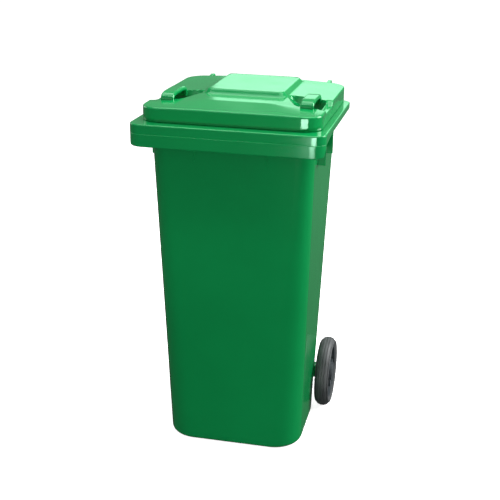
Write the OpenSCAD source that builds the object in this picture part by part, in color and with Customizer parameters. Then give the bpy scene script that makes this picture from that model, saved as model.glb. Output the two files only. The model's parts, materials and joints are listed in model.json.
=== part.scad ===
// Two-wheeled refuse bin of 120 litres, in millimetres.
// +Z is up, +X is the bin's right seen from the front, -Y is the front.
// The origin is on the ground under the middle of the bin.

/* [Rim] */
// Width across the rim
rim_w = 480; // [470:2:490]
// Front of the rim to the back of the handle
total_d = 550; // [540:2:560]
// Height of the rim's top face
rim_h = 886; // [876:2:896]
// Height of the upper band of the rim
band_h = 23; // [20:1:26]
// Height of the lower band, under the front
lower_band_h = 31; // [28:1:34]
// How far the lower band stands back from the upper band
band_step = 6; // [4:1:8]
// Thickness of the rim's skirts and of its top plate
skirt_t = 4; // [3.5:0.5:5]

/* [Tub] */
// Width of the tub just under the rim
tub_top_w = 412; // [404:2:416]
// Width of the tub at the ground
tub_foot_w = 366; // [360:2:370]
// Setback of the tub's front wall from the rim, under the rim
front_setback = 57; // [52:1:60]
// Setback of the tub's front wall from the rim, at the ground
foot_setback = 84; // [80:1:88]
// Wall thickness
wall_t = 4; // [3.5:0.5:4.5]

/* [Lid] */
// Height of the lid's skirt
lid_skirt_h = 38; // [34:1:40]
// Height of the raised panel's top above the ground
panel_h = 943; // [940:1:946]
// Thickness of the lid
lid_t = 3.5; // [3:0.5:4]
// Gap between the closed lid and the rim
lid_gap = 1; // [0.6:0.2:1.4]

/* [Handle and hinge] */
// Radius of the handle bar
bar_r = 15; // [14:0.5:16]
// Radius of the hinge pins
pin_r = 6; // [5.5:0.5:6.5]
// Height of the hinge axis
hinge_z = 893; // [891:1:895]

/* [Wheels] */
// Radius of the wheels
wheel_r = 100; // [98:1:102]
// Width of a wheel
wheel_w = 40; // [36:1:42]
// Outer faces of the two wheels
track_w = 464; // [462:2:468]
// Radius of the axle
axle_r = 10; // [9:0.5:11]
// Number of spokes
spokes = 6; // [5:1:7]

/* [Hidden] */

$fn = 64;
eps = 0.01;
bin_green = [0.04, 0.42, 0.2];
dark_grey = [0.24, 0.26, 0.27];
press_gap = 0.02;
running_gap = 0.08;

// rim and tub
front_y = -total_d / 2;
back_y = total_d / 2;
rim_rear_y = 184;
rim_corner_r = 32;
band_z = rim_h - band_h;
skirt_z = band_z - lower_band_h;
side_skirt_z = band_z - 4;
skirt_deep_to_y = front_y + 36;
skirt_shallow_from_y = -130;
tub_rear_y = 168;
foot_rear_y = 107;
foot_bevel = 12;
mouth_corner_r = 40;
foot_corner_r = 76;
floor_t = 6;
rib_t = 6;
rib_out = 24;
rib_root = 14;
ribs = [[-48, 788], [-198, 796]]; // each rib's y and the height of its lower end

// hinge and handle
hinge_y = back_y - bar_r - 2;
knuckle_r = bar_r + 2;
arm_in_x = 148;
arm_out_x = 188;
arm_fin_x = 163;
arm_fin_t = 11;
arm_fin_top = hinge_z + 36;
ear_t = 12;
ear_gap = 4;
ear_drop = 1;
ear_rise_gap = 2;
ear_angle = 38;
pin_in_bar = 4;
pin_bore_in_bar = 8;

// axle and wheels
axle_y = 106;
axle_z = wheel_r;
hub_in_x = track_w / 2 - wheel_w;
hub_out_x = track_w / 2;
axle_end_x = hub_out_x - 6;
hub_r = 26;
bush_r = 13;
lock_x = hub_in_x + 18;
groove_w = 7;
groove_depth = 2.5;
tyre_inner_r = 77;
bearer_r = 22;
bearer_x = 187;
bearer_foot = 22;
middle_bearer_r = 18;
middle_bearer_x = [62, 71];
recess_y = 68;
recess_z = 172;
recess_depth = 80;

// wheel lock, as radii from the axle's middle
tip_r = 3;
collar_r = 4.6;
stem_r = 1.5;
collar_lo = bush_r + 0.5;
collar_hi = collar_lo + 2;
plug_lo = 30;
plug_hi = 34;
lock_boss_r = 8;
spring_turns = 5;
spring_wire_r = 0.45;

// lid
lid_side_inset = 21;
lid_front_inset = 37;
lid_w = rim_w - 2 * lid_side_inset;
lid_front_y = front_y + lid_front_inset;
lid_rear_y = rim_rear_y + 24;
lid_corner_r = 46;
lid_bottom_z = rim_h + lid_gap;
lid_edge_z = lid_bottom_z + lid_skirt_h;
panel_front_y = -60;
panel_rear_y = 174;
panel_w = 200;
step_front_y = -135;
step_rear_y = -76;
buffer_r = 5.5;
buffer_head_t = 3;
buffer_stem_r = 2.5;
buffer_stem_l = 9;
buffer_y = [-185, 120];
grip_x = [lid_w / 2 - 104, lid_w / 2 - 8];
grip_y = [-150, -20];
grip_floor_z = 902;
grip_bar_x = [lid_w / 2 - 64, lid_w / 2 - 26];
grip_bar_t = 12;
grip_bar_top = lid_edge_z + 19;
grip_notch_y = [-140, -40];
grip_notch_z = 912;

// Rounded rectangle from corner to corner, x symmetric
module plate(half_w, y0, y1, r, z0, h) {
    translate([0, 0, z0])
        linear_extrude(h)
            union() {
                translate([-half_w + r, y0]) square([2 * (half_w - r), y1 - y0]);
                translate([-half_w, y0 + r]) square([2 * half_w, y1 - y0 - 2 * r]);
                for (x = [-1, 1], y = [y0 + r, y1 - r])
                    translate([x * (half_w - r), y]) circle(r);
            }
}

// The same outline for hulls, coarser
module slab(half_w, y0, y1, r, z) {
    translate([0, 0, z])
        linear_extrude(eps)
            for (x = [-1, 1], y = [y0 + r, y1 - r])
                translate([x * (half_w - r), y]) circle(r, $fn = 32);
}

// A profile drawn in Y and Z, extruded along X from x0 to x1
module along_x(x0, x1) {
    translate([x0, 0, 0])
        rotate([90, 0, 90])
            linear_extrude(x1 - x0)
                children();
}

module rod_x(x0, x1, r, y, z) {
    translate([x0, y, z]) rotate([0, 90, 0]) cylinder(r = r, h = x1 - x0);
}

// The right-hand piece, or its mirror image on the left
module side(s) {
    if (s > 0) children();
    else mirror([1, 0, 0]) children();
}

// ---------- container ----------

// Solid of the tub, shrunk by t on every wall
module tub_solid(t, z0, z1) {
    taper = (tub_top_w - tub_foot_w) / 2;
    half_top = tub_top_w / 2 - t;
    half_foot = tub_foot_w / 2 - t;
    front_top = front_y + front_setback + t;
    front_foot = front_y + foot_setback + t;
    hull() {
        slab(half_top, front_top, tub_rear_y - t, mouth_corner_r - t, z1);
        slab(half_foot + taper * foot_bevel / skirt_z, front_foot, foot_rear_y - t,
             foot_corner_r - t, z0 + foot_bevel);
        slab(half_foot - foot_bevel / 2, front_foot + foot_bevel / 2, foot_rear_y - t - foot_bevel / 2,
             foot_corner_r - t, z0);
    }
}

module rim_outline(inset, z0, h) {
    plate(rim_w / 2 - inset, front_y + inset, rim_rear_y - inset, rim_corner_r - inset / 2, z0, h);
}

// Everything outside this profile is cut from the skirt: it is deep in front and shallow behind
module skirt_profile() {
    along_x(-rim_w, rim_w)
        polygon([[front_y - 1, rim_h], [front_y - 1, skirt_z], [skirt_deep_to_y, skirt_z],
                 [skirt_shallow_from_y, side_skirt_z], [rim_rear_y + 1, side_skirt_z],
                 [rim_rear_y + 1, rim_h]]);
}

module skirts() {
    difference() {
        rim_outline(0, band_z, band_h);
        rim_outline(skirt_t, band_z - 1, band_h + 2 - skirt_t);
    }
    intersection() {
        difference() {
            rim_outline(band_step, skirt_z, lower_band_h + skirt_t);
            rim_outline(band_step + skirt_t, skirt_z - 1, lower_band_h + skirt_t + 2);
        }
        skirt_profile();
    }
    // ledge that joins the two bands
    difference() {
        rim_outline(0, band_z, skirt_t);
        rim_outline(band_step + skirt_t, band_z - 1, skirt_t + 2);
    }
}

// Stiffening ribs between the tub's side walls and the side skirts
module side_ribs() {
    for (s = [-1, 1], rib = ribs)
        side(s)
            translate([tub_top_w / 2 - rib_root, rib[0], rib[1]])
                cube([rib_root + rib_out, rib_t, rim_h - skirt_t / 2 - rib[1]]);
}

// Ear that carries the handle bar and a hinge pin; it passes under the lid and then rises behind it
module ear(x0) {
    along_x(x0, x0 + ear_t)
        union() {
            polygon([[rim_rear_y - skirt_t, side_skirt_z], [rim_rear_y + 2, side_skirt_z],
                     [hinge_y + bar_r * cos(ear_angle), hinge_z - bar_r * sin(ear_angle)],
                     [hinge_y - bar_r * sin(ear_angle), hinge_z + bar_r * cos(ear_angle)],
                     [lid_rear_y + ear_rise_gap, rim_h + ear_rise_gap],
                     [lid_rear_y + ear_rise_gap, rim_h - ear_drop],
                     [rim_rear_y - skirt_t, rim_h - ear_drop]]);
            translate([hinge_y, hinge_z]) circle(bar_r);
        }
}

module handle() {
    inner_x = arm_in_x - ear_gap;
    for (s = [-1, 1])
        side(s) {
            ear(inner_x - ear_t);
            ear(arm_out_x + ear_gap);
        }
    rod_x(-inner_x + 1, inner_x - 1, bar_r, hinge_y, hinge_z);
}

// Three bays in the back of the foot, open to the ground
module axle_recess() {
    outer_x = tub_foot_w / 2 - bearer_foot;
    for (s = [-1, 1])
        side(s)
            translate([middle_bearer_x[1], recess_y, -1])
                cube([outer_x - middle_bearer_x[1], recess_depth, recess_z + 1]);
    translate([-middle_bearer_x[0], recess_y, -1])
        cube([2 * middle_bearer_x[0], recess_depth, recess_z + 1]);
}

module axle_bearers() {
    for (s = [-1, 1])
        side(s) {
            rod_x(tub_foot_w / 2 - bearer_foot, bearer_x, bearer_r, axle_y, axle_z);
            rod_x(middle_bearer_x[0], middle_bearer_x[1], middle_bearer_r, axle_y, axle_z);
        }
}

module cavity() {
    difference() {
        tub_solid(wall_t, floor_t, rim_h + 1);
        translate([-rim_w / 2, recess_y - wall_t, 0]) cube([rim_w, 200, recess_z + wall_t]);
    }
}

module container() color(bin_green) {
    difference() {
        union() {
            tub_solid(0, 0, rim_h - eps);
            rim_outline(0, rim_h - skirt_t, skirt_t);
            skirts();
            side_ribs();
            handle();
            axle_bearers();
        }
        cavity();
        axle_recess();
        rod_x(-rim_w / 2, rim_w / 2, axle_r + press_gap, axle_y, axle_z);
        for (s = [-1, 1])
            side(s)
                rod_x(arm_in_x - ear_gap - ear_t - pin_bore_in_bar, rim_w / 2, pin_r + press_gap,
                      hinge_y, hinge_z);
    }
}

// ---------- lid ----------

// Outside of the lid, or its inside where t is the lid's thickness
module lid_shell(t) {
    half = lid_w / 2 - t;
    edge_w = 6;
    edge_h = 9;
    ledge_rise = 5;
    ledge_over = 14;
    hull() {
        slab(half, lid_front_y + t, lid_rear_y - t, lid_corner_r - t, lid_bottom_z - (t > 0 ? 1 : 0));
        slab(half, lid_front_y + t, lid_rear_y - t, lid_corner_r - t, lid_edge_z - edge_h - t);
        slab(half - edge_w, lid_front_y + t + edge_w, lid_rear_y - t - edge_w, lid_corner_r - t,
             lid_edge_z - t);
        slab(panel_w / 2 + ledge_over - t, step_front_y, panel_rear_y + 8, 10,
             lid_edge_z + ledge_rise - t);
    }
}

// The raised panel with its bevelled sides
module lid_panel(t) {
    bevel_w = 10;
    corner_r = 12;
    hull() {
        slab(panel_w / 2 + bevel_w - t, step_rear_y + t, panel_rear_y + bevel_w - t, corner_r,
             lid_edge_z - 4);
        slab(panel_w / 2 - t, panel_front_y + t, panel_rear_y - t, corner_r, panel_h - t);
    }
}

module grip_block(grow, z0, z1) {
    translate([grip_x[0] - grow, grip_y[0] - grow, z0])
        cube([grip_x[1] - grip_x[0] + 2 * grow, grip_y[1] - grip_y[0] + 2 * grow, z1 - z0]);
}

// Low place in the lid's side edge, where the hand comes in
module grip_notch() {
    translate([grip_x[1] - 1, grip_notch_y[0], grip_notch_z])
        cube([lid_w / 2 - grip_x[1] + 2, grip_notch_y[1] - grip_notch_y[0], panel_h - grip_notch_z]);
}

// Bar that the hand closes on, standing on its two ends across the pocket
module grip_bar() {
    end_t = 8;
    along_x(grip_bar_x[0], grip_bar_x[1])
        polygon([[grip_y[0] - end_t, lid_edge_z - 4], [grip_y[0] - end_t, lid_edge_z + 4],
                 [grip_y[0] + end_t, grip_bar_top], [grip_y[1] - end_t, grip_bar_top],
                 [grip_y[1] + end_t, lid_edge_z + 4], [grip_y[1] + end_t, lid_edge_z - 4],
                 [grip_y[1] - 1, lid_edge_z - 4], [grip_y[1] - end_t, grip_bar_top - grip_bar_t],
                 [grip_y[0] + end_t, grip_bar_top - grip_bar_t], [grip_y[0] + 1, lid_edge_z - 4]]);
}

module lid_arm() {
    along_x(arm_in_x, arm_out_x)
        union() {
            polygon([[lid_rear_y - 6, lid_bottom_z + 6],
                     [hinge_y - knuckle_r * sin(30), hinge_z - knuckle_r * cos(30)],
                     [hinge_y - knuckle_r * sin(12), hinge_z + knuckle_r * cos(12)],
                     [lid_rear_y - 4, lid_edge_z - 4], [lid_rear_y - 20, lid_edge_z - 6]]);
            translate([hinge_y, hinge_z]) circle(knuckle_r);
        }
    // fin along the top of the arm
    along_x(arm_fin_x, arm_fin_x + arm_fin_t)
        polygon([[lid_rear_y - 20, lid_edge_z - 6], [lid_rear_y + 6, lid_edge_z - 2],
                 [hinge_y - 12, arm_fin_top], [hinge_y + 2, arm_fin_top],
                 [hinge_y + knuckle_r * cos(30), hinge_z + knuckle_r * sin(30)], [hinge_y, hinge_z]]);
}

module lid() color(bin_green) {
    difference() {
        union() {
            difference() {
                union() {
                    lid_shell(0);
                    lid_panel(0);
                    for (s = [-1, 1]) side(s) lid_arm();
                }
                difference() {
                    lid_shell(lid_t);
                    for (s = [-1, 1]) side(s) grip_block(lid_t, grip_floor_z - lid_t, panel_h);
                }
                lid_panel(lid_t);
                for (s = [-1, 1])
                    side(s) {
                        grip_block(0, grip_floor_z, panel_h);
                        grip_notch();
                    }
            }
            for (s = [-1, 1]) side(s) grip_bar();
            at_buffers()
                translate([0, 0, rim_h + buffer_head_t + 0.4])
                    cylinder(r = buffer_r, h = lid_edge_z - rim_h - buffer_head_t - lid_t);
        }
        at_buffers()
            translate([0, 0, rim_h])
                cylinder(r = buffer_stem_r + press_gap, h = buffer_head_t + buffer_stem_l);
        rod_x(-arm_out_x - 1, arm_out_x + 1, pin_r + running_gap, hinge_y, hinge_z);
    }
}

// Places its children at the four buffers, which bear on the rim's top plate
module at_buffers() {
    for (x = [-1, 1], y = buffer_y)
        translate([x * (lid_w / 2 - lid_t - buffer_r), y, 0]) children();
}

module lid_buffers() color("black") {
    at_buffers()
        union() {
            translate([0, 0, rim_h + 0.4]) cylinder(r = buffer_r, h = buffer_head_t);
            translate([0, 0, rim_h + buffer_head_t]) cylinder(r = buffer_stem_r, h = buffer_stem_l);
        }
}

// ---------- hinge pins ----------

module hinge_pin(s) color("black") {
    head_t = 4;
    inner = arm_in_x - ear_gap - ear_t - pin_in_bar;
    outer = arm_out_x + ear_gap + ear_t;
    side(s)
        union() {
            rod_x(inner, outer + 1, pin_r, hinge_y, hinge_z);
            rod_x(outer, outer + head_t, pin_r + 4, hinge_y, hinge_z);
        }
}

// ---------- axle and wheels ----------

module axle() color("silver") {
    difference() {
        rod_x(-axle_end_x, axle_end_x, axle_r, axle_y, axle_z);
        for (s = [-1, 1])
            side(s)
                difference() {
                    rod_x(lock_x - groove_w / 2, lock_x + groove_w / 2, axle_r + 1, axle_y, axle_z);
                    rod_x(lock_x - groove_w, lock_x + groove_w, axle_r - groove_depth, axle_y, axle_z);
                }
    }
}

module axle_sleeve(s) color(dark_grey) {
    side(s)
        difference() {
            rod_x(bearer_x, hub_in_x - 0.4, axle_r + 6, axle_y, axle_z);
            rod_x(bearer_x - 1, hub_in_x, axle_r + press_gap, axle_y, axle_z);
        }
}

// Turns a profile drawn as [radius, x] about the axle
module around_axle() {
    translate([0, axle_y, axle_z]) rotate([0, 90, 0]) rotate_extrude() children();
}

module tyre(s) color("dimgray") {
    shoulder = 8;
    ribs = 3;
    rib_pitch = 8;
    groove_r = 1.5;
    side(s)
        difference() {
            around_axle()
                polygon([[tyre_inner_r, hub_in_x + 4], [wheel_r - shoulder, hub_in_x],
                         [wheel_r - 2, hub_in_x + 3], [wheel_r, hub_in_x + shoulder],
                         [wheel_r, hub_out_x - shoulder], [wheel_r - 2, hub_out_x - 3],
                         [wheel_r - shoulder, hub_out_x], [tyre_inner_r, hub_out_x - 4]]);
            around_axle()
                for (i = [-ribs / 2 + 0.5:ribs / 2 - 0.5])
                    translate([wheel_r, (hub_in_x + hub_out_x) / 2 + i * rib_pitch]) circle(groove_r);
        }
}

module wheel_rim(s) color(dark_grey) {
    barrel_t = 6;
    mid_x = (hub_in_x + hub_out_x) / 2;
    side(s)
        difference() {
            union() {
                around_axle()
                    union() {
                        translate([tyre_inner_r - barrel_t, hub_in_x + 5])
                            square([barrel_t - press_gap, wheel_w - 10]);
                        translate([bush_r + press_gap, hub_in_x]) square([hub_r - bush_r, wheel_w]);
                    }
                for (i = [0:spokes - 1])
                    translate([mid_x, axle_y, axle_z])
                        rotate([i * 360 / spokes, 0, 0])
                            translate([-9, hub_r - 3, -6]) cube([20, tyre_inner_r - hub_r, 12]);
                translate([lock_x, axle_y, axle_z + bush_r + 2])
                    cylinder(r = lock_boss_r, h = plug_hi - bush_r - 2);
            }
            // bores for the lock and for the hub cap
            translate([lock_x, axle_y, axle_z + bush_r - 1])
                cylinder(r = collar_r + running_gap, h = plug_hi - bush_r + 2);
            rod_x(hub_out_x - 3, hub_out_x + 1, hub_r - 5, axle_y, axle_z);
            rod_x(hub_in_x - 1, hub_out_x + 1, bush_r + press_gap, axle_y, axle_z);
        }
}

module wheel_bush(s) color("white") {
    side(s)
        difference() {
            rod_x(hub_in_x + 0.5, hub_out_x - 3.5, bush_r, axle_y, axle_z);
            rod_x(hub_in_x - 1, hub_out_x, axle_r + running_gap, axle_y, axle_z);
            translate([lock_x, axle_y, axle_z]) cylinder(r = tip_r + running_gap, h = bush_r + 1);
        }
}

module hub_cap(s) color(dark_grey) {
    cap_r = hub_r - 5;
    side(s)
        union() {
            rod_x(hub_out_x - 3, hub_out_x, cap_r - press_gap, axle_y, axle_z);
            rod_x(hub_out_x - eps, hub_out_x + 1.5, cap_r - 3, axle_y, axle_z);
        }
}

// ---------- wheel lock ----------

module lock_plunger(s) color("silver") {
    knob_r = 3;
    side(s)
        translate([lock_x, axle_y, axle_z])
            union() {
                translate([0, 0, axle_r - groove_depth + 0.5])
                    cylinder(r = tip_r, h = collar_lo - axle_r + groove_depth);
                translate([0, 0, collar_lo]) cylinder(r = collar_r, h = collar_hi - collar_lo);
                translate([0, 0, collar_hi - 0.5]) cylinder(r = stem_r, h = plug_hi + 4 - collar_hi);
                translate([0, 0, plug_hi + 3]) cylinder(r = knob_r, h = 4);
            }
}

// A round wire swept along a helix, with flat closed ends
module lock_spring(s) color("gray") {
    steps = 14 * spring_turns;
    sides = 6;
    coil_r = (collar_r + stem_r) / 2 + 0.2;
    z0 = collar_hi + spring_wire_r + 0.05;
    rise = plug_lo - collar_hi - 2 * spring_wire_r - 0.1;
    points = [for (i = [0:steps], k = [0:sides - 1])
              let (a = i * 360 * spring_turns / steps, r = coil_r + spring_wire_r * cos(k * 360 / sides))
              [r * cos(a), r * sin(a), z0 + rise * i / steps + spring_wire_r * sin(k * 360 / sides)]];
    walls = [for (i = [0:steps - 1], k = [0:sides - 1])
             let (n = (k + 1) % sides)
             [i * sides + k, (i + 1) * sides + k, (i + 1) * sides + n, i * sides + n]];
    ends = [[for (k = [0:sides - 1]) k], [for (k = [sides - 1:-1:0]) steps * sides + k]];
    side(s)
        translate([lock_x, axle_y, axle_z]) polyhedron(points, concat(walls, ends));
}

module plunger_plug(s) color(dark_grey) {
    side(s)
        translate([lock_x, axle_y, axle_z])
            difference() {
                translate([0, 0, plug_lo])
                    cylinder(r = collar_r + running_gap - press_gap, h = plug_hi - plug_lo);
                cylinder(r = stem_r + running_gap, h = plug_hi + 1);
            }
}

container();
lid();
lid_buffers();
hinge_pin(-1);  // hinge_pin_left
hinge_pin(1);  // hinge_pin_right
axle();
axle_sleeve(-1);  // axle_sleeve_left
axle_sleeve(1);  // axle_sleeve_right
tyre(-1);  // tyre_left
tyre(1);  // tyre_right
wheel_rim(-1);  // wheel_rim_left
wheel_rim(1);  // wheel_rim_right
wheel_bush(-1);  // wheel_bush_left
wheel_bush(1);  // wheel_bush_right
hub_cap(-1);  // hub_cap_left
hub_cap(1);  // hub_cap_right
lock_plunger(-1);  // lock_plunger_left
lock_plunger(1);  // lock_plunger_right
lock_spring(-1);  // lock_spring_left
lock_spring(1);  // lock_spring_right
plunger_plug(-1);  // plunger_plug_left
plunger_plug(1);  // plunger_plug_right
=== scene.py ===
"""Looks of a two-wheeled refuse bin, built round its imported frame. Lengths are in metres."""

import json
import math

import bmesh
import bpy
from mathutils import Matrix, Vector


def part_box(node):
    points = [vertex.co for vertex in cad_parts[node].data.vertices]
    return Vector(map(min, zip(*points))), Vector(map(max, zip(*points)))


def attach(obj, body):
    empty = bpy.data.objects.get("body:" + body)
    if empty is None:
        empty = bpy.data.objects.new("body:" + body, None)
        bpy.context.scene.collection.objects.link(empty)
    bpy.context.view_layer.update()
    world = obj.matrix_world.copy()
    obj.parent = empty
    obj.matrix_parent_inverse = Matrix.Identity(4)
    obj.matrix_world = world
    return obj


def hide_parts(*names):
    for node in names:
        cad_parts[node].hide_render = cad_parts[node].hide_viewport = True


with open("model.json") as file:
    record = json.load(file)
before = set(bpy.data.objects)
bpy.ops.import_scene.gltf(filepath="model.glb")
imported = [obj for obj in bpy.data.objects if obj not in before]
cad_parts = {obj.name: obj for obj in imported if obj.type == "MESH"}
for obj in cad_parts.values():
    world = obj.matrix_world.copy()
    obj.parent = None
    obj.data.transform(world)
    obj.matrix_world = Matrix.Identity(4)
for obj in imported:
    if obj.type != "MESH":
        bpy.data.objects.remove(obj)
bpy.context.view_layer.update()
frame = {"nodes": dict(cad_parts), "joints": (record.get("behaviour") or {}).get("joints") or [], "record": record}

MM = 0.001
UP = Vector((0, 0, 1))

# ---------- sizes, from the frame ----------

BIN_LO, BIN_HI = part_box("container")
LID_LO, LID_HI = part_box("lid")
PIN_LO, PIN_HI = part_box("hinge_pin_right")
AXLE_LO, AXLE_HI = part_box("axle")
JOINTS = {joint["name"]: joint for joint in frame["joints"]}
HINGE = Vector(JOINTS["lid_hinge"]["pos_m"])
AXLE = (AXLE_LO + AXLE_HI) / 2

# rim
RIM_HALF = BIN_HI.x
RIM_FRONT = BIN_LO.y
RIM_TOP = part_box("lid_buffers")[0].z - 0.4 * MM
RIM_BACK = HINGE.y - 74 * MM
RIM_CORNER = 32 * MM
LOWER_CORNER = 36 * MM
SKIRT_T = 4 * MM
BAND_STEP = 3 * MM
BAND_Z = RIM_TOP - 23 * MM
SKIRT_FRONT_Z = BAND_Z - 31 * MM
SKIRT_SIDE_Z = BAND_Z + 5 * MM
SKIRT_EDGE = (
    (RIM_FRONT + 20 * MM, SKIRT_FRONT_Z),
    (RIM_FRONT + 32 * MM, SKIRT_FRONT_Z + 28 * MM),
    (RIM_FRONT + 110 * MM, SKIRT_SIDE_Z),
)

# tub
TUB_TOP_HALF = RIM_HALF - 34 * MM
TUB_FOOT_HALF = RIM_HALF - 57 * MM
TUB_FRONT_TOP = RIM_FRONT + 57 * MM
TUB_FRONT_FOOT = RIM_FRONT + 84 * MM
TUB_BACK_TOP = RIM_BACK - 16 * MM
TUB_BACK_FOOT = AXLE.y + 1 * MM
TUB_CORNER_TOP = 40 * MM
TUB_CORNER_FOOT = 76 * MM
FOOT_ROUND = 12 * MM
WALL = 4 * MM
FLOOR_T = 6 * MM
RIB_T = 6 * MM
RIB_OUT = 17 * MM
RIB_ENDS = (
    (RIM_FRONT + 255 * MM, RIM_TOP - 101 * MM),
    (RIM_FRONT + 141 * MM, RIM_TOP - 104 * MM),
)

# axle recess in the back of the foot
RECESS_Y = AXLE.y - 38 * MM
RECESS_Z = 172 * MM
BEARER_R = 22 * MM
MIDDLE_BEARER_R = BEARER_R - 4 * MM
MIDDLE_BEARER_X = (62 * MM, 71 * MM)

# lid
LID_HALF = LID_HI.x + 3 * MM
LID_FRONT = LID_LO.y
LID_BACK = HINGE.y - 50 * MM
LID_CORNER = 46 * MM
LID_BOTTOM = RIM_TOP + 1 * MM
LID_EDGE = LID_BOTTOM + 38 * MM
LID_CROWN = 6.5 * MM
CROWN_BEND = 4 * MM
LID_T = 3.5 * MM
LID_FILLET = 4.5 * MM
PANEL_TOP = LID_HI.z - 1 * MM
PANEL_HALF = 98 * MM
PANEL_FRONT = LID_FRONT + 178 * MM
PANEL_BACK = LID_BACK - 34 * MM
PANEL_CORNER = 12 * MM
PANEL_SLOPE = 1.1
PANEL_EDGE = 1.5 * MM
PANEL_BLEND = 2.5 * MM
LEDGE_HALF = 86 * MM
LEDGE_FRONT = LID_FRONT + 98 * MM
LEDGE_FALL = 0.025

# hand grips, right-hand side: POCKET holds the corners of the hollow, from above
POCKET_FLOOR = LID_BOTTOM + 16 * MM
POCKET_LIP = LID_BOTTOM + 26 * MM
POCKET = [
    (LID_HALF - 118 * MM, LID_FRONT + 196 * MM),
    (LID_HALF - 77 * MM, LID_FRONT + 100 * MM),
    (LID_HALF - 14 * MM, LID_FRONT + 90 * MM),
    (LID_HALF - 14 * MM, LID_FRONT + 194 * MM),
    (LID_HALF - 62 * MM, LID_FRONT + 212 * MM),
    (LID_HALF - 106 * MM, LID_FRONT + 216 * MM),
]
POCKET_BACK = LID_FRONT + 222 * MM
POCKET_WALL = 6 * MM
POCKET_BLEND = 10 * MM
RAMP_X = LID_HALF - 72 * MM
RAMP_SLOPE = 0.5
RAMP_BEND = 5 * MM
LIP_X = (LID_HALF - 20 * MM, LID_HALF - 9 * MM)
LIP_Y = (LID_FRONT + 84 * MM, LID_FRONT + 176 * MM)
LIP_RISE = 12 * MM
LIP_FALL = 30 * MM
GRIP_X = (LID_HALF - 64 * MM, LID_HALF - 30 * MM)
GRIP_Y = (LID_FRONT + 80 * MM, LID_FRONT + 206 * MM)
GRIP_T = 12 * MM
GRIP_TOP = LID_HI.z

# hinge
BAR_R = 15 * MM
KNUCKLE_R = 17 * MM
ARM_X = (148 * MM, 188 * MM)
FIN_X = (163 * MM, 174 * MM)
EAR_T = 12 * MM
EAR_GAP = 4 * MM
PIN_R = 6 * MM
ARM_BORE_R = 6.1 * MM

CORNER_STEPS = 12
SIDE_STEPS = 14


def lerp(a, b, t):
    return a + (b - a) * t


def smooth_step(edge0, edge1, x):
    t = min(1.0, max(0.0, (x - edge0) / (edge1 - edge0)))
    return t * t * (3 - 2 * t)


def rounded_ramp(x, radius):
    """Zero below -radius, x above radius, and a smooth bend between."""
    if x <= -radius:
        return 0.0
    if x >= radius:
        return x
    return (x + radius) ** 2 / (4 * radius)


def soft_max(a, b, width):
    blend = max(width - abs(a - b), 0) / width
    return max(a, b) + blend * blend * width / 4


def arc(centre, radius, start, end, steps=14):
    """Points of an arc in the YZ plane, with angles in degrees from +Y towards +Z."""
    cy, cz = centre
    angles = [math.radians(lerp(start, end, k / steps)) for k in range(steps + 1)]
    return [(cy + radius * math.cos(a), cz + radius * math.sin(a)) for a in angles]


# ---------- mesh building ----------


def outline(half, front, back, corner):
    """A rounded rectangle seen from above, anticlockwise."""
    corners = [
        (-half + corner, front + corner, 180),
        (half - corner, front + corner, 270),
        (half - corner, back - corner, 0),
        (-half + corner, back - corner, 90),
    ]
    points = []
    for i, (cx, cy, start) in enumerate(corners):
        for k in range(CORNER_STEPS + 1):
            a = math.radians(start + 90 * k / CORNER_STEPS)
            points.append(Vector((cx + corner * math.cos(a), cy + corner * math.sin(a))))
        nx, ny, nstart = corners[(i + 1) % 4]
        a = math.radians(nstart)
        goal = Vector((nx + corner * math.cos(a), ny + corner * math.sin(a)))
        last = points[-1].copy()
        points += [last.lerp(goal, k / SIDE_STEPS) for k in range(1, SIDE_STEPS)]
    return points


def ring(half, front, back, corner, z):
    """The outline at a height, which is a number or a function of y."""
    points = outline(half, front, back, corner)
    height = z if callable(z) else lambda y: z
    return [Vector((p.x, p.y, height(p.y))) for p in points]


def bridge(bm, near, far):
    """Faces between two closed loops of vertices."""
    count = len(near)
    for i in range(count):
        j = (i + 1) % count
        bm.faces.new((near[i], near[j], far[j], far[i]))


def loft(rings, closed=False):
    """A closed mesh through rings with the same number of points: flat ends, or joined end to end."""
    bm = bmesh.new()
    loops = [[bm.verts.new(p) for p in points] for points in rings]
    for near, far in zip(loops, loops[1:]):
        bridge(bm, near, far)
    if closed:
        bridge(bm, loops[-1], loops[0])
    else:
        bm.faces.new(list(reversed(loops[0])))
        bm.faces.new(loops[-1])
    bmesh.ops.recalc_face_normals(bm, faces=bm.faces)
    return bm


def round_edges(bm, bevel, segments=3):
    sharp = [e for e in bm.edges if e.calc_face_angle(0) > math.radians(30)]
    bmesh.ops.bevel(bm, geom=sharp, offset=bevel, segments=segments, profile=0.5, affect="EDGES")
    return bm


def prism_x(profile, x0, x1, bevel=0.0):
    """A profile of (y, z) points carried along X, with its edges rounded."""
    bm = loft([[Vector((x, y, z)) for y, z in profile] for x in (x0, x1)])
    return round_edges(bm, bevel) if bevel else bm


def box_mesh(lo, hi, bevel=0.0):
    profile = [(lo[1], lo[2]), (hi[1], lo[2]), (hi[1], hi[2]), (lo[1], hi[2])]
    return prism_x(profile, lo[0], hi[0], bevel)


def circle_x(x, radius, centre, steps):
    """Points of a circle about an axis along X."""
    angles = [2 * math.pi * k / steps for k in range(steps)]
    return [
        Vector((x, centre.y + radius * math.cos(a), centre.z + radius * math.sin(a)))
        for a in angles
    ]


def rod_x(x0, x1, radius, centre, bevel=1 * MM, steps=48):
    """A solid round bar along X with rounded ends."""
    near_end = [(x0 + bevel * (1 - s), radius - bevel * (1 - c)) for s, c in reversed(quarter())]
    far_end = [(x0 + x1 - x, r) for x, r in reversed(near_end)]
    return loft([circle_x(x, r, centre, steps) for x, r in near_end + far_end])


def lathe_x(profile, centre, steps=128):
    """A closed profile of (radius, x) points turned about an axis along X through centre."""
    return loft([circle_x(x, r, centre, steps) for r, x in profile], closed=True)


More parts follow.
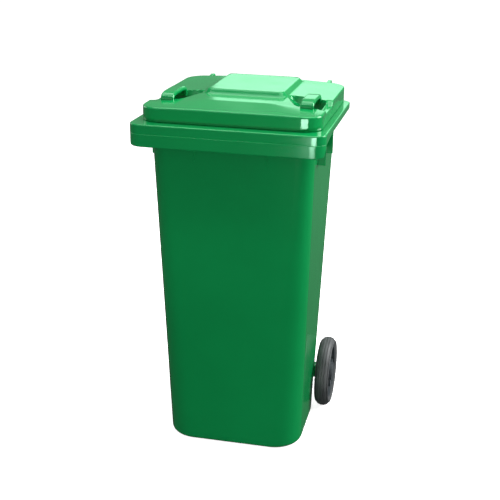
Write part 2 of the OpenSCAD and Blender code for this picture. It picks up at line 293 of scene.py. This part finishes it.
def quarter(steps=4):
    """Sine and cosine over a quarter turn, for the rings of a rounded edge."""
    angles = [math.pi / 2 * k / steps for k in range(steps + 1)]
    return [(math.sin(a), math.cos(a)) for a in angles]


def merge(meshes):
    """One mesh from several that don't touch."""
    whole = bmesh.new()
    for bm in meshes:
        part = bpy.data.meshes.new("part")
        bm.to_mesh(part)
        bm.free()
        whole.from_mesh(part)
        bpy.data.meshes.remove(part)
    return whole


def as_object(name, bm):
    mesh = bpy.data.meshes.new(name)
    bm.to_mesh(mesh)
    bm.free()
    made = bpy.data.objects.new(name, mesh)
    bpy.context.scene.collection.objects.link(made)
    return made


def combine(target, meshes, operation):
    """Adds meshes that don't touch one another to the target, or cuts them from it."""
    part = as_object("part", merge(meshes))
    modifier = target.modifiers.new("combine", "BOOLEAN")
    modifier.object = part
    modifier.operation = operation
    modifier.solver = "EXACT"
    graph = bpy.context.evaluated_depsgraph_get()
    mesh = bpy.data.meshes.new_from_object(target.evaluated_get(graph))
    old = target.data
    target.modifiers.clear()
    target.data = mesh
    mesh.name = target.name
    bpy.data.meshes.remove(old)
    bpy.data.objects.remove(part)


def smooth(made, angle=35):
    """Smooth shading with sharp edges kept, and normals that keep broad faces flat."""
    made.data.shade_smooth()
    made.data.set_sharp_from_angle(angle=math.radians(angle))
    modifier = made.modifiers.new("normals", "WEIGHTED_NORMAL")
    modifier.keep_sharp = True
    modifier.weight = 60


def mirrored(bm):
    """A copy of a mesh, mirrored from the right of the bin to the left."""
    copy = bm.copy()
    for v in copy.verts:
        v.co.x = -v.co.x
    bmesh.ops.reverse_faces(copy, faces=copy.faces)
    return copy


def both_sides(meshes):
    return meshes + [mirrored(bm) for bm in meshes]


def add_piece(made, body, nodes, material):
    """Hands a finished piece to the frame in place of CAD nodes."""
    made.data.materials.clear()
    made.data.materials.append(material)
    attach(made, body)
    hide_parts(*nodes)


# ---------- container ----------


def tub_ring(z, shrink=0.0):
    """The tub's outline at a height, shrunk on every side."""
    t = (z - FOOT_ROUND) / (RIM_TOP - FOOT_ROUND)
    return ring(
        lerp(TUB_FOOT_HALF, TUB_TOP_HALF, t) - shrink,
        lerp(TUB_FRONT_FOOT, TUB_FRONT_TOP, t) + shrink,
        lerp(TUB_BACK_FOOT, TUB_BACK_TOP, t) - shrink,
        lerp(TUB_CORNER_FOOT, TUB_CORNER_TOP, t) - shrink,
        z,
    )


def rim_ring(inset, z):
    """The upper band's outline, drawn in by inset."""
    front = RIM_FRONT + BAND_STEP + inset
    return ring(RIM_HALF - inset, front, RIM_BACK - inset, RIM_CORNER - inset / 2, z)


def lower_ring(inset, z):
    """The lower band's outline: flush with the upper band at the sides, and proud of it in front."""
    front = RIM_FRONT + inset
    return ring(RIM_HALF - inset, front, RIM_BACK - inset, LOWER_CORNER - inset / 2, z)


def skirt_edge(offset=0.0):
    """Height of the skirt's lower edge: deep in front, shallow along the sides and the back."""

    def height(y):
        if y <= SKIRT_EDGE[0][0]:
            return SKIRT_EDGE[0][1] + offset
        for (ay, az), (by, bz) in zip(SKIRT_EDGE, SKIRT_EDGE[1:]):
            if y < by:
                return lerp(az, bz, (y - ay) / (by - ay)) + offset
        return SKIRT_EDGE[-1][1] + offset

    return height


def band_line(offset=0.0):
    """Height of the line between the two bands, which keeps above the skirt's lower edge."""
    edge = skirt_edge(3 * MM)
    return lambda y: max(BAND_Z, edge(y)) + offset


def container_solid():
    """The tub and its rim as one solid, without the room inside."""
    edge = 2 * MM
    lip = 0.9 * MM
    seam = 0.3 * MM
    top_width = 20 * MM
    top_round = 3 * MM
    under_round = 8 * MM
    wall_rings = 26
    rings = []
    for s, c in quarter(6):
        rings.append(tub_ring(FOOT_ROUND * (1 - s), FOOT_ROUND * (1 - c)))
    rings.reverse()
    top = RIM_TOP - SKIRT_T
    for k in range(1, wall_rings):
        rings.append(tub_ring(lerp(FOOT_ROUND, top - under_round, k / wall_rings)))
    for s, c in quarter():
        rings.append(tub_ring(top - under_round * (1 - s), -under_round * (1 - c)))
    rings.append(lower_ring(SKIRT_T, top))
    rings.append(lower_ring(SKIRT_T, lambda y: lerp(top, skirt_edge()(y), 0.5)))
    rings.append(lower_ring(SKIRT_T, skirt_edge(edge)))
    for s, c in quarter(3)[1:]:
        rings.append(lower_ring(SKIRT_T - edge * s, skirt_edge(edge * c)))
    for s, c in quarter(3)[1:]:
        rings.append(lower_ring(edge * c, skirt_edge(edge * s)))
    for s, c in quarter(3):
        rings.append(lower_ring(lip * (1 - c), band_line(lip * (s - 1))))
    rings.append(rim_ring(0, band_line(seam)))
    for s, c in quarter(5):
        rings.append(rim_ring(top_round * (1 - c), RIM_TOP - top_round * (1 - s)))
    rings.append(rim_ring(top_width, RIM_TOP))
    return loft(rings)


def cavity_solid():
    """The room inside the tub, with a rounded floor edge, stepped over the axle recess."""
    floor_round = 16 * MM
    mouth_round = 3 * MM
    above_rim = 10 * MM
    below_ground = -1
    wall_rings = 20
    rings = []
    for s, c in quarter(6):
        rings.append(tub_ring(FLOOR_T + floor_round * (1 - s), WALL + floor_round * (1 - c)))
    rings.reverse()
    low = FLOOR_T + floor_round
    high = RIM_TOP - mouth_round
    for k in range(1, wall_rings):
        rings.append(tub_ring(lerp(low, high, k / wall_rings), WALL))
    for s, c in quarter():
        rings.append(tub_ring(high + mouth_round * s, WALL - mouth_round * (1 - c)))
    rings.append(tub_ring(RIM_TOP + above_rim, WALL - mouth_round))
    cavity = as_object("cavity", loft(rings))
    step_lo = (-RIM_HALF, RECESS_Y - WALL, below_ground)
    step = box_mesh(step_lo, (RIM_HALF, RIM_BACK, RECESS_Z + WALL))
    combine(cavity, [step], "DIFFERENCE")
    bm = bmesh.new()
    bm.from_mesh(cavity.data)
    bpy.data.objects.remove(cavity)
    return bm


def side_ribs():
    """Stiffening ribs between the side walls and the skirts."""
    root_x = TUB_TOP_HALF - 14 * MM
    tip_x = TUB_TOP_HALF + RIB_OUT
    top = RIM_TOP - SKIRT_T / 2
    edge = 1.2 * MM
    return [box_mesh((root_x, y, low), (tip_x, y + RIB_T, top), edge) for y, low in RIB_ENDS]


def front_rib():
    """Low rib down the front wall, right-hand side, from the deep rim to nothing."""
    x = 88 * MM
    thickness = 5 * MM
    depth = 9 * MM
    root = 2 * MM
    edge = 1 * MM
    low = RIM_TOP - 124 * MM
    front = lerp(TUB_FRONT_FOOT, TUB_FRONT_TOP, low / RIM_TOP)
    top = RIM_TOP - SKIRT_T / 2
    profile = [(front + root, low), (TUB_FRONT_TOP + root, top), (TUB_FRONT_TOP - depth, top)]
    return [prism_x(profile, x, x + thickness, edge)]


def ear(x0):
    """Ear that carries the handle bar and a hinge pin: it passes under the lid and rises behind it."""
    turn = 38
    step = 2 * MM
    under_rim = RIM_TOP - 1 * MM
    edge = 1.5 * MM
    root_y = RIM_BACK - SKIRT_T
    behind_lid = LID_BACK + step
    profile = [(root_y, SKIRT_SIDE_Z), (RIM_BACK + step, SKIRT_SIDE_Z)]
    profile += arc((HINGE.y, HINGE.z), BAR_R, -turn, 90 + turn)
    profile += [(behind_lid, RIM_TOP + step), (behind_lid, under_rim), (root_y, under_rim)]
    return prism_x(profile, x0, x0 + EAR_T, edge)


def bearer(x0, x1, radius):
    """Boss round the axle."""
    edge = 1.5 * MM
    return rod_x(x0, x1, radius, AXLE, edge)


def recess_bays():
    """Three bays in the back of the foot, open to the ground."""
    inner_x, next_x = MIDDLE_BEARER_X
    outer_x = TUB_FOOT_HALF - BEARER_R
    back = TUB_BACK_FOOT + 40 * MM
    below = -20 * MM
    edge = 6 * MM
    middle = box_mesh((-inner_x, RECESS_Y, below), (inner_x, back, RECESS_Z), edge)
    outer = box_mesh((next_x, RECESS_Y, below), (outer_x, back, RECESS_Z), edge)
    return [middle] + both_sides([outer])


def make_container():
    body = as_object("tub", container_solid())
    inner_ear_x = ARM_X[0] - EAR_GAP - EAR_T
    sleeve_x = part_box("axle_sleeve_right")[0].x
    extras = side_ribs() + front_rib()
    extras += [ear(inner_ear_x), ear(ARM_X[1] + EAR_GAP)]
    extras += [bearer(TUB_FOOT_HALF - BEARER_R, sleeve_x, BEARER_R)]
    combine(body, both_sides(extras), "UNION")
    combine(body, [rod_x(-inner_ear_x - EAR_T / 2, inner_ear_x + EAR_T / 2, BAR_R, HINGE)], "UNION")
    combine(body, [cavity_solid()], "DIFFERENCE")
    combine(body, recess_bays(), "DIFFERENCE")
    middle = [bearer(MIDDLE_BEARER_X[0], MIDDLE_BEARER_X[1], MIDDLE_BEARER_R)]
    combine(body, both_sides(middle), "UNION")
    bore = 0.3 * MM
    axle_bore = rod_x(AXLE_LO.x, AXLE_HI.x, (AXLE_HI.z - AXLE_LO.z) / 2 + bore, AXLE)
    pin_bore = rod_x(PIN_LO.x, PIN_HI.x, PIN_R + bore, HINGE)
    combine(body, [axle_bore] + both_sides([pin_bore]), "DIFFERENCE")
    smooth(body)
    return body


# ---------- lid ----------


def box_distance(x, y, half, front, back, corner):
    """Distance outside a rounded rectangle, negative inside."""
    dx = abs(x) - half + corner
    dy = abs(y - (front + back) / 2) - (back - front) / 2 + corner
    outside = math.hypot(max(dx, 0), max(dy, 0))
    return outside + min(max(dx, dy), 0) - corner


def pocket_distance(x, y):
    """Distance outside the grip pocket, negative inside, with softened corners."""
    deep_inside = -1.0
    far = deep_inside
    for (ax, ay), (bx, by) in zip(POCKET, POCKET[1:] + POCKET[:1]):
        length = math.hypot(bx - ax, by - ay)
        away = ((by - ay) * (abs(x) - ax) - (bx - ax) * (y - ay)) / length
        far = soft_max(far, away, POCKET_BLEND)
    return far


def lid_height(x, y):
    """Height of the lid's upper face: crown, raised panel, and the pockets of the hand grips."""
    side_fall = LID_CROWN * rounded_ramp(abs(x) - LEDGE_HALF, CROWN_BEND) / (LID_HALF - LEDGE_HALF)
    front_fall = LID_CROWN * rounded_ramp(LEDGE_FRONT - y, CROWN_BEND) / (LEDGE_FRONT - LID_FRONT)
    ledge_fall = LEDGE_FALL * min(max(PANEL_FRONT - y, 0), PANEL_FRONT - LEDGE_FRONT)
    height = LID_EDGE + LID_CROWN - math.hypot(side_fall, front_fall) - ledge_fall
    lip = smooth_step(LIP_Y[0], LIP_Y[0] + LIP_RISE, y) - smooth_step(LIP_Y[1], LIP_Y[1] + LIP_FALL, y)
    lip *= smooth_step(LIP_X[0], LIP_X[1], abs(x))
    height = lerp(height, POCKET_LIP, lip)
    wall = smooth_step(-POCKET_WALL, 0, pocket_distance(x, y))
    floor = POCKET_FLOOR + RAMP_SLOPE * rounded_ramp(RAMP_X - abs(x), RAMP_BEND)
    height = lerp(min(floor, height), height, wall)
    off_panel = box_distance(x, y, PANEL_HALF, PANEL_FRONT, PANEL_BACK, PANEL_CORNER)
    panel = PANEL_TOP - PANEL_SLOPE * rounded_ramp(off_panel, PANEL_EDGE)
    return soft_max(height, panel, PANEL_BLEND)


def stations(breaks, steps):
    """Grid lines through every break, spaced between them by the step of each stretch."""
    lines = []
    for (a, b), step in zip(zip(breaks, breaks[1:]), steps):
        count = max(1, round((b - a) / step))
        lines += [lerp(a, b, k / count) for k in range(count)]
    return lines + [breaks[-1]]


def into_corner(x, y, half, front, back, corner):
    """Moves a point of a rectangle so that the rectangle's corners become round."""
    cx = math.copysign(half - corner, x)
    cy = front + corner if y < (front + back) / 2 else back - corner
    a, b = (x - cx) * math.copysign(1, x), (y - cy) * math.copysign(1, y - (front + back) / 2)
    if a <= 0 or b <= 0:
        return x, y
    pull = max(a, b) / math.hypot(a, b)
    return cx + (x - cx) * pull, cy + (y - cy) * pull


def lid_grid():
    """Grid lines of the lid's upper face, close together where its shape changes."""
    half = LID_HALF - LID_FILLET
    fine, coarse = 2.2 * MM, 6 * MM
    soft = PANEL_EDGE
    foot = 13 * MM
    approach = 30 * MM
    xs = [0, LEDGE_HALF, PANEL_HALF - soft, PANEL_HALF, PANEL_HALF + soft, PANEL_HALF + foot, half]
    right = stations(xs, [coarse, coarse, fine, fine, fine, fine])
    columns = [-x for x in reversed(right[1:])] + right
    ys = [LID_FRONT + LID_FILLET, LEDGE_FRONT - approach, LEDGE_FRONT, PANEL_FRONT - foot]
    ys += [PANEL_FRONT - soft, PANEL_FRONT, PANEL_FRONT + soft, POCKET_BACK]
    ys += [PANEL_BACK - soft, PANEL_BACK, PANEL_BACK + soft, PANEL_BACK + foot, LID_BACK - LID_FILLET]
    steps = [coarse, fine, fine, fine, fine, fine, fine, coarse, fine, fine, fine, fine]
    return columns, stations(ys, steps)


def edge_direction(p):
    """Outward direction on the edge of the lid's grid."""
    half = LID_HALF - LID_CORNER
    x = p.x - math.copysign(min(abs(p.x), half), p.x)
    low, high = LID_FRONT + LID_CORNER, LID_BACK - LID_CORNER
    y = p.y - min(max(p.y, low), high)
    return Vector((x, y, 0)).normalized()


def lid_shell():
    """The lid as a thin closed shell: upper face, rounded edge, skirt and the same again inside."""
    columns, rows = lid_grid()
    size = (LID_HALF - LID_FILLET, LID_FRONT + LID_FILLET, LID_BACK - LID_FILLET)
    corner = LID_CORNER - LID_FILLET
    bm = bmesh.new()
    upper, lower = [], []
    for y in rows:
        points = [into_corner(x, y, *size, corner) for x in columns]
        upper.append([bm.verts.new((px, py, lid_height(px, py))) for px, py in points])
        lower.append([bm.verts.new(v.co - LID_T * UP) for v in upper[-1]])
    for face in (upper, lower):
        for near, far in zip(face, face[1:]):
            for i in range(len(columns) - 1):
                bm.faces.new((near[i], near[i + 1], far[i + 1], far[i]))
    bridge_edges(bm, edge_loop(upper), edge_loop(lower))
    bmesh.ops.recalc_face_normals(bm, faces=bm.faces)
    return bm


def edge_loop(face):
    """The vertices round a grid's edge, anticlockwise."""
    right = [row[-1] for row in face[1:-1]]
    left = [row[0] for row in face[1:-1]]
    return face[0] + right + list(reversed(face[-1])) + list(reversed(left))


def bridge_edges(bm, outer, inner):
    """The lid's rounded edge and skirt, from the edge of the upper face to that of the lower."""
    loops = [outer]
    lip = 1.2 * MM
    for s, c in quarter(5)[1:]:
        loops.append(offset_loop(bm, outer, LID_FILLET * s, -LID_FILLET * (1 - c)))
    loops.append(offset_loop(bm, outer, LID_FILLET, None, LID_BOTTOM + lip))
    loops.append(offset_loop(bm, outer, LID_FILLET - lip / 2, None, LID_BOTTOM))
    inside = LID_FILLET - LID_T
    loops.append(offset_loop(bm, outer, inside + lip / 2, None, LID_BOTTOM))
    loops.append(offset_loop(bm, outer, inside, None, LID_BOTTOM + lip))
    for s, c in reversed(quarter(3)[1:]):
        loops.append(offset_loop(bm, inner, inside * s, -inside * (1 - c)))
    loops.append(inner)
    for near, far in zip(loops, loops[1:]):
        bridge(bm, near, far)


def offset_loop(bm, loop, out, drop, z=None):
    """A copy of an edge loop moved outwards, and down by a drop or to a height."""
    made = []
    for v in loop:
        p = v.co + edge_direction(v.co) * out
        p.z = z if z is not None else p.z + drop
        made.append(bm.verts.new(p))
    return made


def grip_bar():
    """Rounded bar arched over the pocket, front to back."""
    steps = 40
    round_steps = 5
    end_power = 0.5
    arch_power = 0.4
    sunk = 9 * MM
    mid_y = (GRIP_Y[0] + GRIP_Y[1]) / 2
    reach = (GRIP_Y[1] - GRIP_Y[0]) / 2 - GRIP_T / 2
    foot_z = LID_EDGE - sunk
    rise = GRIP_TOP - GRIP_T / 2 - foot_z
    path = []
    for k in range(steps + 1):
        a = math.pi * k / steps
        y = mid_y - math.copysign(abs(math.cos(a)) ** end_power, math.cos(a)) * reach
        path.append(Vector((0, y, foot_z + rise * abs(math.sin(a)) ** arch_power)))
    corner = 5 * MM
    half = (GRIP_X[1] - GRIP_X[0]) / 2
    mid_x = (GRIP_X[0] + GRIP_X[1]) / 2
    rings = []
    for i, p in enumerate(path):
        ahead = path[min(i + 1, steps)] - path[max(i - 1, 0)]
        out = Vector((0, -ahead.z, ahead.y)).normalized()
        points = []
        for turn in range(4):
            cx = (half - corner) * (1 if turn in (0, 3) else -1)
            cn = (GRIP_T / 2 - corner) * (1 if turn in (0, 1) else -1)
            for k in range(round_steps + 1):
                a = math.pi / 2 * (turn + k / round_steps)
                dx, dn = cx + corner * math.cos(a), cn + corner * math.sin(a)
                points.append(Vector((mid_x + dx, p.y, p.z)) + out * dn)
        rings.append(points)
    return loft(rings)


def lid_arm():
    """Arm from the lid's back edge to the knuckle on the hinge pin."""
    start_y = LID_BACK - 2.5 * MM
    start_low = LID_BOTTOM + 6 * MM
    start_high = LID_EDGE - 4.5 * MM
    below, above = -120, 102
    edge = 1.5 * MM
    profile = [(start_y, start_low)]
    profile += arc((HINGE.y, HINGE.z), KNUCKLE_R, below, above, 24)
    profile += [(start_y, start_high)]
    return prism_x(profile, ARM_X[0], ARM_X[1], edge)


def arm_fin():
    """Fin along the top of an arm."""
    start_y = LID_BACK - 3 * MM
    start_low = LID_EDGE - 8 * MM
    start_high = LID_EDGE - 3 * MM
    root_r = KNUCKLE_R - 2 * MM
    top = HINGE.z + 32 * MM
    tip_r = 6 * MM
    tip = (HINGE.y - 5 * MM, top - tip_r)
    edge = 1.2 * MM
    profile = [(start_y, start_low), (HINGE.y, HINGE.z)]
    profile += arc((HINGE.y, HINGE.z), root_r, 10, 40, 4)
    profile += arc(tip, tip_r, 20, 115, 6)
    profile += [(start_y, start_high)]
    return prism_x(profile, FIN_X[0], FIN_X[1], edge)


def make_lid():
    lid = as_object("lid_moulding", lid_shell())
    combine(lid, both_sides([grip_bar(), lid_arm()]), "UNION")
    combine(lid, both_sides([arm_fin()]), "UNION")
    past = 1 * MM
    pin_bore = rod_x(ARM_X[0] - past, ARM_X[1] + past, ARM_BORE_R, HINGE)
    combine(lid, both_sides([pin_bore]), "DIFFERENCE")
    smooth(lid, 40)
    return lid


# ---------- wheels ----------


def tyre(lo, hi):
    """Solid rubber tyre with a crowned tread and ribs that run round it."""
    radius = (hi.z - lo.z) / 2
    half_width = (hi.x - lo.x) / 2
    middle = (lo.x + hi.x) / 2
    inner = radius - 23 * MM
    side_inset = 4 * MM
    crown = 11 * MM
    crown_power = 2.6
    ribs = 5
    groove = 2.4 * MM
    groove_slope = 0.7
    grooved_share = 0.9
    steps = 80
    profile = [(inner, lo.x + side_inset)]
    for k in range(steps + 1):
        t = 2 * k / steps - 1
        sink = groove * smooth_step(0, groove_slope, math.cos(math.pi * ribs * t))
        if abs(t) >= grooved_share:
            sink = 0
        profile.append((radius - crown * abs(t) ** crown_power - sink, middle + half_width * t))
    profile.append((inner, hi.x - side_inset))
    return lathe_x(profile, (lo + hi) / 2)


def make_tyre(side):
    made = as_object("tread_" + side, tyre(*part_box("tyre_" + side)))
    smooth(made, 50)
    return made


# ---------- materials ----------

# sockets of a Mix node that mixes colours
MIX_A, MIX_B, MIX_RESULT = 6, 7, 2


def principled(name):
    material = bpy.data.materials.new(name)
    material.use_nodes = True
    tree = material.node_tree
    return material, tree, tree.nodes["Principled BSDF"]


def noise(tree, scale, detail=3.0, stretch=(1, 1, 1)):
    """Noise in the object's own coordinates, stretched along its axes."""
    place = tree.nodes.new("ShaderNodeTexCoord")
    mapping = tree.nodes.new("ShaderNodeMapping")
    mapping.inputs["Scale"].default_value = stretch
    texture = tree.nodes.new("ShaderNodeTexNoise")
    texture.inputs["Scale"].default_value = scale
    texture.inputs["Detail"].default_value = detail
    tree.links.new(place.outputs["Object"], mapping.inputs["Vector"])
    tree.links.new(mapping.outputs["Vector"], texture.inputs["Vector"])
    return texture.outputs["Fac"]


def spread(tree, source, low, high):
    """The source, mostly between 0.35 and 0.65, carried to a range of values."""
    span = tree.nodes.new("ShaderNodeMapRange")
    span.inputs["From Min"].default_value = 0.35
    span.inputs["From Max"].default_value = 0.65
    span.inputs["To Min"].default_value = low
    span.inputs["To Max"].default_value = high
    tree.links.new(source, span.inputs["Value"])
    return span.outputs["Result"]


def mottled(tree, shader, source, dark, light):
    """Base colour that wanders between two colours."""
    mix = tree.nodes.new("ShaderNodeMix")
    mix.data_type = "RGBA"
    mix.inputs[MIX_A].default_value = (*dark, 1)
    mix.inputs[MIX_B].default_value = (*light, 1)
    tree.links.new(spread(tree, source, 0, 1), mix.inputs["Factor"])
    tree.links.new(mix.outputs[MIX_RESULT], shader.inputs["Base Color"])


def bumpy(tree, shader, layers):
    """Relief from several (source, depth) layers, each on top of the last."""
    last = None
    for source, depth in layers:
        bump = tree.nodes.new("ShaderNodeBump")
        bump.inputs["Strength"].default_value = 1.0
        bump.inputs["Distance"].default_value = depth
        tree.links.new(source, bump.inputs["Height"])
        if last:
            tree.links.new(last.outputs["Normal"], bump.inputs["Normal"])
        last = bump
    tree.links.new(last.outputs["Normal"], shader.inputs["Normal"])


def worn_edges(tree, shader, lift):
    """Roughness that is higher along worn edges, over the roughness already linked."""
    geometry = tree.nodes.new("ShaderNodeNewGeometry")
    edge = tree.nodes.new("ShaderNodeMapRange")
    edge.inputs["From Min"].default_value = 0.52
    edge.inputs["From Max"].default_value = 0.6
    edge.inputs["To Max"].default_value = lift
    tree.links.new(geometry.outputs["Pointiness"], edge.inputs["Value"])
    add = tree.nodes.new("ShaderNodeMath")
    add.operation = "ADD"
    source = shader.inputs["Roughness"].links[0].from_socket
    tree.links.new(source, add.inputs[0])
    tree.links.new(edge.outputs["Result"], add.inputs[1])
    tree.links.new(add.outputs["Value"], shader.inputs["Roughness"])


def bin_plastic():
    """Glossy green polyethylene: slightly wavy, with fine orange peel and faint rubbed patches."""
    material, tree, shader = principled("bin_plastic")
    mottled(tree, shader, noise(tree, 3.5, 4), (0.0022, 0.225, 0.055), (0.0028, 0.25, 0.062))
    rubbed = noise(tree, 14, 6, (1, 1, 0.25))
    tree.links.new(spread(tree, rubbed, 0.1, 0.14), shader.inputs["Roughness"])
    worn_edges(tree, shader, 0.1)
    bumpy(tree, shader, [(noise(tree, 5, 1), 0.15 * MM), (noise(tree, 700, 2), 0.004 * MM)])
    shader.inputs["IOR"].default_value = 1.52
    shader.inputs["Specular Tint"].default_value = (0.55, 1, 0.75, 1)
    return material


def tyre_rubber():
    material, tree, shader = principled("tyre_rubber")
    mottled(tree, shader, noise(tree, 30, 5), (0.042, 0.047, 0.049), (0.075, 0.081, 0.083))
    tree.links.new(spread(tree, noise(tree, 60, 4), 0.45, 0.62), shader.inputs["Roughness"])
    worn_edges(tree, shader, 0.15)
    bumpy(tree, shader, [(noise(tree, 400, 4), 0.06 * MM)])
    return material


def grained_plastic(name, dark, light, roughness, grain):
    """Moulded plastic with a fine spark-eroded grain."""
    material, tree, shader = principled(name)
    mottled(tree, shader, noise(tree, 25, 4), dark, light)
    tree.links.new(spread(tree, noise(tree, 90, 3), *roughness), shader.inputs["Roughness"])
    worn_edges(tree, shader, 0.1)
    bumpy(tree, shader, [(noise(tree, 900, 2), grain)])
    return material


def steel(name, dark, light, roughness, stretch):
    """Drawn steel with fine lines along one axis and cloudy plating."""
    material, tree, shader = principled(name)
    shader.inputs["Metallic"].default_value = 1.0
    mottled(tree, shader, noise(tree, 40, 5), dark, light)
    lines = noise(tree, 300, 3, stretch)
    tree.links.new(spread(tree, lines, *roughness), shader.inputs["Roughness"])
    worn_edges(tree, shader, 0.1)
    bumpy(tree, shader, [(lines, 0.02 * MM)])
    return material


def make_materials():
    """The material of each slot in the record."""
    return {
        "bin_plastic": bin_plastic(),
        "tyre_rubber": tyre_rubber(),
        "wheel_plastic": grained_plastic(
            "wheel_plastic", (0.035, 0.045, 0.05), (0.055, 0.066, 0.072), (0.3, 0.42), 0.02 * MM
        ),
        "pin_plastic": grained_plastic(
            "pin_plastic", (0.014, 0.015, 0.015), (0.025, 0.026, 0.026), (0.35, 0.5), 0.015 * MM
        ),
        "bush_plastic": grained_plastic(
            "bush_plastic", (0.55, 0.52, 0.43), (0.64, 0.61, 0.52), (0.4, 0.55), 0.01 * MM
        ),
        "buffer_rubber": grained_plastic(
            "buffer_rubber", (0.015, 0.015, 0.015), (0.03, 0.03, 0.03), (0.6, 0.75), 0.03 * MM
        ),
        "axle_steel": steel(
            "axle_steel", (0.42, 0.43, 0.43), (0.56, 0.56, 0.55), (0.22, 0.38), (0.05, 1, 1)
        ),
        "spring_steel": steel(
            "spring_steel", (0.36, 0.36, 0.36), (0.5, 0.5, 0.49), (0.25, 0.4), (1, 1, 0.3)
        ),
    }


def finish_node(node, material):
    """Material and softened edges for a CAD node that stays in view."""
    node.data.materials.clear()
    node.data.materials.append(material)
    bevel = node.modifiers.new("soft_edges", "BEVEL")
    bevel.width = 0.4 * MM
    bevel.segments = 2
    bevel.limit_method = "ANGLE"
    bevel.angle_limit = math.radians(40)


# ---------- floor, light and camera ----------


def make_floor():
    """Pale floor. It doesn't throw light back at the bin, as in a cut-out product picture."""
    size = 12
    mesh = bpy.data.meshes.new("floor")
    corners = [(-size, -size, 0), (size, -size, 0), (size, size, 0), (-size, size, 0)]
    mesh.from_pydata(corners, [], [(0, 1, 2, 3)])
    floor = bpy.data.objects.new("floor", mesh)
    bpy.context.scene.collection.objects.link(floor)
    material, tree, shader = principled("floor")
    mottled(tree, shader, noise(tree, 2, 2), (0.93, 0.93, 0.93), (0.95, 0.95, 0.95))
    shader.inputs["Roughness"].default_value = 0.9
    shader.inputs["Specular IOR Level"].default_value = 0.1
    shader.inputs["Emission Color"].default_value = (1, 1, 1, 1)
    shader.inputs["Emission Strength"].default_value = 0.8
    mesh.materials.append(material)
    floor.visible_diffuse = False
    floor.visible_glossy = False


def make_world():
    """White behind the bin, and a dim light for everything else, darker from below."""
    world = bpy.data.worlds.new("studio")
    bpy.context.scene.world = world
    world.use_nodes = True
    tree = world.node_tree
    dim = tree.nodes["Background"]
    dim.inputs["Color"].default_value = (1, 1, 1, 1)
    place = tree.nodes.new("ShaderNodeTexCoord")
    split = tree.nodes.new("ShaderNodeSeparateXYZ")
    height = tree.nodes.new("ShaderNodeMapRange")
    height.inputs["From Min"].default_value = -0.5
    height.inputs["From Max"].default_value = 0.5
    height.inputs["To Min"].default_value = 0.06
    height.inputs["To Max"].default_value = 0.3
    tree.links.new(place.outputs["Generated"], split.inputs[0])
    tree.links.new(split.outputs["Z"], height.inputs["Value"])
    tree.links.new(height.outputs["Result"], dim.inputs["Strength"])
    white = tree.nodes.new("ShaderNodeBackground")
    white.inputs["Color"].default_value = (1, 1, 1, 1)
    white.inputs["Strength"].default_value = 1.2
    path = tree.nodes.new("ShaderNodeLightPath")
    mix = tree.nodes.new("ShaderNodeMixShader")
    tree.links.new(path.outputs["Is Camera Ray"], mix.inputs[0])
    tree.links.new(dim.outputs[0], mix.inputs[1])
    tree.links.new(white.outputs[0], mix.inputs[2])
    tree.links.new(mix.outputs[0], tree.nodes["World Output"].inputs["Surface"])


def area_light(name, place, target, width, height, radiance):
    """A rectangular soft light, given by how bright its face is."""
    data = bpy.data.lights.new(name, "AREA")
    data.shape = "RECTANGLE"
    data.size = width
    data.size_y = height
    data.energy = radiance * width * height * math.pi
    light = bpy.data.objects.new(name, data)
    bpy.context.scene.collection.objects.link(light)
    light.location = place
    light.rotation_euler = (Vector(target) - Vector(place)).to_track_quat("-Z", "Y").to_euler()
    return light


def make_lights():
    """Studio soft boxes: where each stands, what it faces, its width, height and brightness."""
    middle = (0, 0, 0.5)
    area_light("overhead", (0.1, 0.5, 3.2), (0.1, 0.1, 0.9), 3.0, 2.4, 3.4)
    area_light("edges", (0.1, -0.9, 3.0), middle, 3.0, 0.2, 14.0)
    area_light("side", (3.2, 1.4, 2.3), middle, 2.2, 2.0, 17.0)
    area_light("left", (-3.2, 1.0, 1.6), middle, 2.0, 2.0, 1.9)
    area_light("front", (-1.2, -4.2, 2.4), middle, 2.0, 1.6, 1.0)
    behind = area_light("behind", (-0.22, 3.3, 1.7), (-0.1, 0, 0.95), 1.56, 0.5, 2.0)
    behind.data.color = (0.5, 1, 0.7)
    area_light("strip", (0.66, -2.2, 0.44), (0.22, -0.2, 0.88), 1.5, 0.17, 26.0)


def make_camera():
    """A long lens from the front and right, a little above the lid."""
    place = Vector((0.5569, -2.3982, 1.3926))
    yaw, pitch, roll = math.radians(11.07), math.radians(19.35), math.radians(1.36)
    data = bpy.data.cameras.new("camera")
    data.sensor_width = 36
    data.lens = 69.048
    data.shift_x = -0.0606
    data.shift_y = -0.023
    camera = bpy.data.objects.new("camera", data)
    bpy.context.scene.collection.objects.link(camera)
    level = Vector((-math.sin(yaw), math.cos(yaw), 0))
    forward = level * math.cos(pitch) - UP * math.sin(pitch)
    right = Vector((math.cos(yaw), math.sin(yaw), 0))
    up = right.cross(forward)
    tilted_right = right * math.cos(roll) + up * math.sin(roll)
    tilted_up = up * math.cos(roll) - right * math.sin(roll)
    basis = Matrix((tilted_right, tilted_up, -forward)).transposed()
    camera.matrix_world = Matrix.Translation(place) @ basis.to_4x4()
    bpy.context.scene.camera = camera


# ---------- the whole scene ----------

MATERIALS = make_materials()
add_piece(make_container(), "container", ["container"], MATERIALS["bin_plastic"])
add_piece(make_lid(), "lid", ["lid"], MATERIALS["bin_plastic"])
REPLACED = {"container", "lid"}
for side in ("left", "right"):
    tyre_node = "tyre_" + side
    add_piece(
        make_tyre(side), "wheel_" + side, [tyre_node], MATERIALS["tyre_rubber"]
    )
    REPLACED.add(tyre_node)
for subpart in frame["record"]["subparts"]:
    if subpart["node"] not in REPLACED:
        finish_node(frame["nodes"][subpart["node"]], MATERIALS[subpart["material_slot"]])

make_floor()
make_world()
make_lights()
make_camera()
bpy.context.scene.view_settings.view_transform = "Standard"
